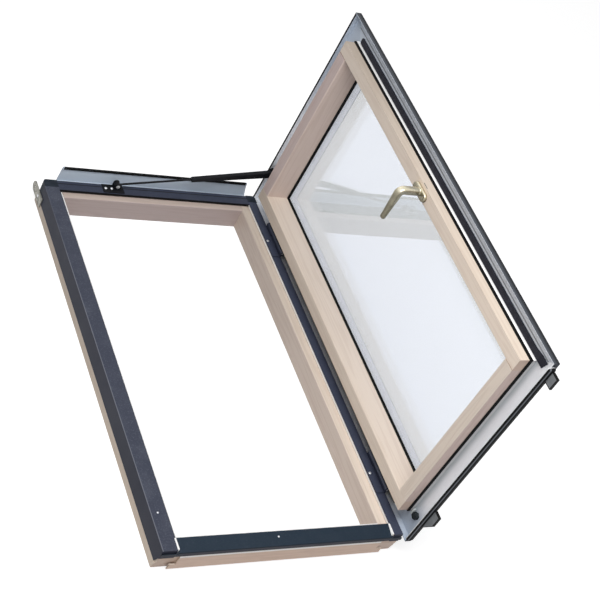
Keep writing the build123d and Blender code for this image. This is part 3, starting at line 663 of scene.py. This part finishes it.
brightSteel = steelFinish("brightSteel")
satinBrass = brassFinish("satinBrass")
dress(
    ["mounting_strap_lock_side", "mounting_strap_hinge_side", "lock_case", "lock_bolt"],
    zincFinish("zincPlate"),
)
dress(
    ["hinge_pin_upper", "hinge_pin_lower", "lock_keeper", "stay_pin", "stay_rivet", "handle_spindle"],
    brightSteel,
)
dress(
    ["stay_bracket", "stay_sash_bracket", "stay_rod", "stay_sleeve"],
    softFinish("blackSteel", blackSteel),
)
print("rubber, plastic and metals dressed")


# glass

glazing = {
    "tint": linear(252, 253, 253),
    "mirror": 0.12,
    "glancePower": 5,
    "reflected": linear(204, 205, 221),
    "roughness": 0.015,
}


def glassFinish(name):
    # thin sheet: mostly see-through, with a mirror share that grows at glancing angles
    material, start = newFinish(name)
    clear = start.add("ShaderNodeBsdfTransparent", None, {"Color": glazing["tint"]})
    mirror = start.add("ShaderNodeBsdfPrincipled", None, {
        "Base Color": glazing["reflected"],
        "Roughness": glazing["roughness"],
        "Metallic": 1.0,
    })
    glance = start.add("ShaderNodeLayerWeight", None, {"Blend": 0.5}, out="Facing")
    share = glazing["mirror"] + glance ** glazing["glancePower"] * (1 - glazing["mirror"])
    pane = start.add("ShaderNodeMixShader", None, {0: share.clamped(), 1: clear, 2: mirror})
    start.add("ShaderNodeOutputMaterial", None, {"Surface": pane})
    return material


dress(["inner_pane", "outer_pane"], glassFinish("windowGlass"))
print("glass dressed")


# new pieces: grids of points worked out as whole arrays

def gridFaces(rows, columns, first=0):
    # four-cornered faces between neighbouring rows; the last column joins the first
    row = np.arange(rows - 1)[:, None] * columns
    column = np.arange(columns)[None, :]
    beside = (column + 1) % columns
    corners = [row + column, row + beside, row + columns + beside, row + columns + column]
    return np.stack(corners, axis=-1).reshape(-1, 4) + first


def addPiece(name, grids, material, body, replaced=()):
    # each grid is rows by columns by 3 and closes on itself around its columns and at its first and last row
    points, faces, first = [], [], 0
    for grid in grids:
        rows, columns = grid.shape[:2]
        points.append(grid.reshape(-1, 3))
        faces.append(gridFaces(rows, columns, first))
        first += rows * columns
    mesh = bpy.data.meshes.new(name)
    mesh.from_pydata(np.concatenate(points).tolist(), [], np.concatenate(faces).tolist())
    shell = bmesh.new()
    shell.from_mesh(mesh)
    bmesh.ops.remove_doubles(shell, verts=shell.verts, dist=1e-6)
    bmesh.ops.recalc_face_normals(shell, faces=shell.faces)
    shell.to_mesh(mesh)
    shell.free()
    mesh.shade_smooth()
    mesh.materials.append(material)
    item = bpy.data.objects.new(name, mesh)
    scene.collection.objects.link(item)
    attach(item, body)
    if replaced:
        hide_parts(*replaced)
    return item


def fullTurn(count):
    return np.linspace(0, 2 * np.pi, count, endpoint=False)


def boxed(wave, power):  # a sine or cosine pushed out towards a box's corners; a power of 1 leaves it round
    return np.sign(wave) * np.abs(wave) ** power


def roundEnd(count):  # steps along a rounded end, from 0 to 1, and how wide the section is there
    ending = np.sin(np.linspace(0, np.pi / 2, count))
    return ending, np.sqrt(np.clip(1 - (1 - ending) ** 2, 0, 1))


# screw heads

screwHead = {
    "radius": 0.0042,
    "height": 0.0016,
    "dome": (0.75, 2.6),  # how much lower the rim is, and the power of the dome
    "armWidth": 0.0007,
    "armLength": 0.0024,
    "armEase": (0.0003, 0.0004),  # slope of the recess across and along an arm
    "recess": 0.0008,
    "rings": 17,
    "sides": 48,
}
screwRows = [  # name, body, replaced nodes, size, then each head's place and normal
    ("strapScrews", "frame", ["strap_screws"], 1.0,
     [((side * 0.3325, 0.575, 0.029), (side, 0, 0)) for side in (-1, 1)]),
    ("hingeFrameScrews", "frame", ["hinge_frame_screws"], 1.0,
     [((0.308, y, 0.0805), (0, 0, 1)) for y in (-0.405, 0.405)]),
    ("hingeSashScrews", "sash", ["hinge_sash_screws"], 1.0,
     [((0.3505, y, 0.105), (-1, 0, 0)) for y in (-0.443, -0.367, 0.367, 0.443)]),
    ("stayBracketScrews", "frame", ["stay_bracket_screws"], 1.0,
     [((x, 0.57225, 0.08), (0, 0, 1)) for x in (-0.151, -0.133)]),
    ("claddingScrew", "frame", [], 0.6, [((-0.3123, -0.4855, 0.078), (0, 0, 1))]),
    ("sillScrew", "frame", [], 0.6, [((-0.022, -0.568, 0.0753), (0, -0.2113, 0.9774))]),
]


def frameFor(normal):
    # two directions that lie in the face, and its own normal
    normal = np.array(normal, float)
    side = np.array((0, 1, 0)) if abs(normal[slopeAxis]) < 0.9 else np.array((1, 0, 0))
    return np.stack([side, np.cross(normal, side), normal])


def screwGrid(place, normal, size=1.0):
    # a dome over the polar grid (radius, turn): height = h * (1 - drop * r^power), less a cross-shaped
    # recess; its rim drops to the face and the underside closes at the middle
    radius = np.concatenate([np.linspace(0, 1, screwHead["rings"]), [1.0, 0.0]])[:, None]
    turn = fullTurn(screwHead["sides"])[None, :]
    reach = screwHead["radius"] * size
    across, along = radius * reach * np.cos(turn), radius * reach * np.sin(turn)
    drop, power = screwHead["dome"]
    easeAcross, easeAlong = screwHead["armEase"]

    def arm(first, second):
        narrow = np.clip((screwHead["armWidth"] * size - np.abs(first)) / (easeAcross * size), 0, 1)
        return narrow * np.clip((screwHead["armLength"] * size - np.abs(second)) / (easeAlong * size), 0, 1)

    height = screwHead["height"] * size * (1 - drop * radius ** power) + 0 * turn
    height = height - screwHead["recess"] * size * np.maximum(arm(across, along), arm(along, across))
    height[-2:] = 0.0
    return np.array(place) + np.stack([across, along, height], axis=-1) @ frameFor(normal)


# lever handle

lever = {
    "faceX": 0.305,  # inside the rose
    "axisZ": 0.6815,
    "reachX": 0.2455,
    "bend": 0.012,
    "tipZ": 0.5855,
    "neck": (0.0094, 0.0096),  # half sizes: in the plane of the lever, and across it
    "root": (0.0090, 0.0100),
    "tip": (0.0058, 0.0066),
    "tipRound": 0.003,
    "corner": 3.4,  # 2 is an ellipse, more is boxier
    "neckSteps": 8,
    "bendSteps": 14,
    "gripSteps": 20,
    "tipSteps": 9,
    "sides": 40,
}


def leverGrid():
    # a boxy ellipse carried along a straight neck, a quarter bend and a tapering grip with a rounded tip
    bend, startX, top = lever["bend"], lever["faceX"], lever["axisZ"]
    middleX, middleZ = lever["reachX"] + bend, top - bend
    neck = np.linspace(0, startX - middleX, lever["neckSteps"])
    quarter = np.linspace(0, np.pi / 2, lever["bendSteps"])[1:]
    grip = np.linspace(0, middleZ - lever["tipZ"] - lever["tipRound"], lever["gripSteps"])[1:]
    tip = np.sin(np.linspace(0, np.pi / 2, lever["tipSteps"]))[1:]
    ahead, after = neck.size + quarter.size, grip.size + tip.size
    pathX = np.concatenate([
        startX - neck,
        middleX - bend * np.sin(quarter),
        np.full(after, lever["reachX"]),
    ])
    pathZ = np.concatenate([
        np.full(neck.size, top),
        middleZ + bend * np.cos(quarter),
        middleZ - grip,
        middleZ - grip[-1] - lever["tipRound"] * tip,
    ])
    heading = np.concatenate([np.zeros(neck.size), quarter, np.full(after, np.pi / 2)])
    growth = np.linspace(0, 1, ahead)
    taper = np.concatenate([grip / grip[-1], np.ones(tip.size)])
    closing = np.concatenate([np.ones(ahead + grip.size), np.sqrt(1 - tip ** 2)])
    sizes = []
    for neckSize, rootSize, tipSize in zip(lever["neck"], lever["root"], lever["tip"]):
        growing = neckSize + (rootSize - neckSize) * growth
        shrinking = rootSize + (tipSize - rootSize) * taper
        size = np.concatenate([growing, shrinking]) * closing
        sizes.append(np.concatenate([[0.0], size])[:, None])  # closed inside the rose
    pathX, pathZ, heading = (np.concatenate([line[:1], line])[:, None] for line in (pathX, pathZ, heading))
    turn = fullTurn(lever["sides"])
    power = 2 / lever["corner"]
    inPlane, across = boxed(np.cos(turn), power), boxed(np.sin(turn), power)
    x = pathX - sizes[0] * inPlane * np.sin(heading)
    z = pathZ + sizes[0] * inPlane * np.cos(heading)
    return np.stack([x, sizes[1] * across, z], axis=-1)


# handle rose

rose = {
    "faceX": 0.308,
    "axisZ": 0.6815,
    "halfLength": 0.032,
    "radius": 0.012,
    "profile": [  # inset and height of each step
        (0.0, 0.0), (0.0, 0.0042), (0.0003, 0.0058), (0.0012, 0.0071), (0.0026, 0.0078), (0.0045, 0.008),
    ],
    "collar": [  # radius and height of each step
        (0.0, 0.0070), (0.0110, 0.0070), (0.0110, 0.0098), (0.0107, 0.0106), (0.0100, 0.0110), (0.0, 0.0110),
    ],
    "endSteps": 25,
    "collarSides": 48,
}


def roseGrid():
    # a slot-shaped ring, two half circles apart, carried inwards and outwards over the profile
    inset, height = np.array(rose["profile"]).T
    inset = np.concatenate([[rose["radius"]], inset, [rose["radius"]]])[:, None]
    height = np.concatenate([[0.0], height, height[-1:]])[:, None]
    half = np.linspace(0, np.pi, rose["endSteps"])
    turn = np.concatenate([half, half + np.pi])[None, :]
    apart = np.repeat([1.0, -1.0], half.size)[None, :] * (rose["halfLength"] - rose["radius"])
    radius = rose["radius"] - inset
    y = radius * np.sin(turn) + apart
    z = rose["axisZ"] + radius * np.cos(turn)
    return np.stack([rose["faceX"] - height + 0 * y, y, z], axis=-1)


def collarGrid():
    # the collar's profile turned around the spindle
    radius, height = np.array(rose["collar"]).T[:, :, None]
    turn = fullTurn(rose["collarSides"])[None, :]
    y = radius * np.sin(turn)
    return np.stack([rose["faceX"] - height + 0 * y, y, rose["axisZ"] + radius * np.cos(turn)], axis=-1)


# drip rail on the lower edge of the sash

drip = {
    "middleX": 0.339,
    "halfWidth": 0.011,
    "backY": -0.601,
    "depth": 0.008,
    "lowZ": 0.076,
    "highZ": 0.747,
    "power": 0.7,  # 1 is a half ellipse, less is boxier
    "endRound": 0.006,
    "groove": 0.12,
    "grooveOffset": 0.0032,
    "grooveWidth": 0.0009,
    "endSteps": 8,
    "runSteps": 10,
    "sides": 49,
    "coreX": 0.3323,
    "coreHalf": 0.0019,
    # painted highlight: the paler core line
    "core": linear(112, 115, 121),
    # painted highlight: a white line along the back, where the moulding meets the cover
    "edgeY": -0.603,
    "edge": linear(244, 245, 247),
}


def dripGrid():
    # a D-shaped section with two shallow grooves, carried up the sash and shrunk to a round end
    ending, swell = roundEnd(drip["endSteps"])
    run = np.linspace(drip["lowZ"] + drip["endRound"], drip["highZ"] - drip["endRound"], drip["runSteps"] + 2)
    z = np.concatenate([
        drip["lowZ"] + drip["endRound"] * ending,
        run[1:-1],
        drip["highZ"] - drip["endRound"] * ending[::-1],
    ])[:, None]
    size = np.concatenate([swell, np.ones(drip["runSteps"]), swell[::-1]])[:, None]
    turn = np.linspace(0, np.pi, drip["sides"])[None, :]
    across = -boxed(np.cos(turn), drip["power"]) * drip["halfWidth"]
    fromCore = across + drip["middleX"] - drip["coreX"]
    offsets = [fromCore - side * drip["grooveOffset"] for side in (-1, 1)]
    grooves = sum(np.exp(-(offset / drip["grooveWidth"]) ** 2) for offset in offsets)
    out = boxed(np.sin(turn), drip["power"]) * drip["depth"] * (1 - drip["groove"] * grooves)
    x = drip["middleX"] + across * size
    y = drip["backY"] - out * size
    return np.stack([x, y, z + 0 * x], axis=-1)


def dripFinish(name):
    # black moulding with a painted highlight as a paler core line between its grooves, and a painted
    # highlight as a white line where it meets the cover
    material, start = newFinish(name)
    place = start.place()
    at = place.parts()
    core = (at[acrossAxis] - drip["coreX"]).size().spread(drip["coreHalf"], drip["coreHalf"] / 2)
    colour = core.blend(softTone(place, moulded), drip["core"])
    # painted highlight along the back of the moulding
    colour = (at[slopeAxis] > drip["edgeY"]).blend(colour, drip["edge"])
    return closeFinish(material, softCoat(place, colour, moulded["roughness"]))


# black seal around the sash

seal = {"height": 0.0075, "depth": 0.003, "round": 0.0016, "roundSteps": 8, "sharpFrom": 0.7}


def sealGrid():
    # a strip with one round edge, carried around the rectangle of the sash with mitred corners
    low, high = (np.array(corner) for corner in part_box("sash_seal"))
    turn = np.linspace(0, np.pi / 2, seal["roundSteps"])
    roundInset = seal["round"] * (1 - np.cos(turn))
    roundHeight = seal["height"] - seal["round"] * (1 - np.sin(turn))
    inset = np.concatenate([[0.0], roundInset, [seal["depth"], seal["depth"]]])[None, :]
    height = np.concatenate([[0.0], roundHeight, [seal["height"], 0.0]])[None, :]
    sideY = np.array([-1, 1, 1, -1, -1])[:, None]
    sideZ = np.array([-1, -1, 1, 1, -1])[:, None]
    middle, half = (low + high) / 2, (high - low) / 2
    y = middle[slopeAxis] + sideY * (half[slopeAxis] - inset)
    z = middle[upAxis] + sideZ * (half[upAxis] - inset)
    return np.stack([high[acrossAxis] - height + 0 * y, y, z], axis=-1)


# black hem along the top of the rain hood

hem = {
    "leftX": -0.275,
    "rightX": 0.299,
    "y": 0.611,
    "z": 0.1053,
    "halfThick": 0.0025,
    "halfHeight": 0.0047,
    "corner": 3.0,
    "endSteps": 7,
    "sides": 28,
}


def hemGrid():
    # a rounded rectangle carried along the hood's top edge, shrunk to a round end
    ending, swell = roundEnd(hem["endSteps"])
    endRound = hem["halfHeight"]
    x = np.concatenate([hem["leftX"] + endRound * ending, hem["rightX"] - endRound * ending[::-1]])[:, None]
    size = np.concatenate([swell, swell[::-1]])[:, None]
    turn = fullTurn(hem["sides"])[None, :]
    power = 2 / hem["corner"]
    y = hem["y"] + size * hem["halfThick"] * boxed(np.cos(turn), power)
    z = hem["z"] + size * hem["halfHeight"] * boxed(np.sin(turn), power)
    return np.stack([x + 0 * y, y, z], axis=-1)


# pale pad between the seal and the corner buffer

pad = {
    "middle": (0.3485, -0.5530, 0.1250),
    "half": (0.0045, 0.0028, 0.0095),
    "corner": 4.0,
    "rings": 21,
    "sides": 32,
    "tone": linear(205, 211, 211),
    "bloom": linear(190, 197, 198),
    "roughness": 0.7,
}


def padGrid():
    # a rounded block: the superellipsoid over longitude and latitude
    tilt = np.linspace(-np.pi / 2, np.pi / 2, pad["rings"])[:, None]
    turn = fullTurn(pad["sides"])[None, :]
    power = 2 / pad["corner"]
    ring = boxed(np.cos(tilt), power)
    x, y = ring * boxed(np.cos(turn), power), ring * boxed(np.sin(turn), power)
    z = boxed(np.sin(tilt), power) + 0 * turn
    return np.array(pad["middle"]) + np.stack([x, y, z], axis=-1) * np.array(pad["half"])


for name, body, replaced, size, heads in screwRows:
    grids = [screwGrid(place, normal, size) for place, normal in heads]
    addPiece(name, grids, brightSteel, body, replaced)
addPiece("leverGrip", [leverGrid()], satinBrass, "handle", ["handle_lever"])
addPiece("roseCover", [roseGrid(), collarGrid()], satinBrass, "sash", ["handle_rose"])
addPiece("dripMoulding", [dripGrid()], dripFinish("dripMoulding"), "sash", ["drip_rail"])
ring = addPiece("sealRing", [sealGrid()], blackRubber, "sash", ["sash_seal"])
ring.data.set_sharp_from_angle(angle=seal["sharpFrom"])
addPiece("hoodHem", [hemGrid()], softFinish("hemTrim", rubber), "frame")
addPiece("bufferPad", [padGrid()], softFinish("padFoam", pad), "sash")
print("new pieces added")


# floor, light and camera

studio = {
    "floorSize": 30.0,
    "floorDrop": 0.0005,
    "floorTone": linear(190, 190, 191),
    "floorGlow": 0.76,
    "worldLight": 0.32,
    "keyPower": 74.0,
    "keySize": 2.2,
    "keyPlace": (-0.8, -0.7, 3.1),
    "fillPower": 10.0,
    "fillSize": 3.0,
    "fillPlace": (-0.6, -4.0, 1.3),
    "aim": (0.1, 0.0, 0.3),
}
view = {
    "place": (-1.721855, -2.021726, 2.481308),
    "right": (0.84576746, -0.33239927, 0.41735852),
    "above": (-0.03140161, 0.74986047, 0.66085037),
    "back": (-0.53262683, -0.57203147, 0.62376971),
    "lens": 83.02,
    "sensor": 36.0,
}


def studioFloor():
    # pale matte floor that keeps the shadow; plain rays also see its glow
    half = studio["floorSize"] / 2
    corners = np.array([[-half, -half], [half, -half], [half, half], [-half, half]])
    points = np.column_stack([corners, np.full(4, -studio["floorDrop"])])
    mesh = bpy.data.meshes.new("studioFloor")
    mesh.from_pydata(points.tolist(), [], [(0, 1, 2, 3)])
    material, start = newFinish("floorPaint")
    matte = start.add("ShaderNodeBsdfDiffuse", None, {"Color": studio["floorTone"]})
    light = start.add("ShaderNodeEmission", None, {"Strength": start.plainRays() * studio["floorGlow"]})
    both = start.add("ShaderNodeAddShader", None, {0: matte, 1: light})
    start.add("ShaderNodeOutputMaterial", None, {"Surface": both})
    mesh.materials.append(material)
    floor = bpy.data.objects.new("studioFloor", mesh)
    scene.collection.objects.link(floor)


def studioWorld():
    # soft light for the object, and plain white for plain rays
    world = bpy.data.worlds.new("studioWorld")
    world.use_nodes = True
    world.node_tree.nodes.clear()
    start = Wire(world.node_tree)
    strength = studio["worldLight"] + start.plainRays() * (1 - studio["worldLight"])
    sky = start.add("ShaderNodeBackground", None, {"Color": (1, 1, 1, 1), "Strength": strength})
    start.add("ShaderNodeOutputWorld", None, {"Surface": sky})
    scene.world = world


def stand(name, data, place, right, above, back):
    # links a lamp or camera at its place, turned to its own right, upward and backward directions
    turn = np.column_stack([right, above, back])
    item = bpy.data.objects.new(name, data)
    item.matrix_world = Matrix.Translation(place) @ Matrix(turn.tolist()).to_4x4()
    scene.collection.objects.link(item)
    return item


def softLamp(name, place, size, power):
    lamp = bpy.data.lights.new(name, "AREA")
    lamp.shape = "DISK"
    lamp.size = size
    lamp.energy = power
    aim = np.array(studio["aim"]) - np.array(place)
    back = -aim / np.linalg.norm(aim)
    right = np.cross((0, 0, 1), back)
    right /= np.linalg.norm(right)
    stand(name, lamp, place, right, np.cross(back, right), back)


def photoCamera():
    camera = bpy.data.cameras.new("photoCamera")
    camera.lens = view["lens"]
    camera.sensor_width = view["sensor"]
    camera.sensor_fit = "HORIZONTAL"
    scene.camera = stand("photoCamera", camera, view["place"], view["right"], view["above"], view["back"])


studioFloor()
studioWorld()
softLamp("keyLamp", studio["keyPlace"], studio["keySize"], studio["keyPower"])
softLamp("fillLamp", studio["fillPlace"], studio["fillSize"], studio["fillPower"])
photoCamera()
scene.view_settings.view_transform = "Standard"
print("studio ready")
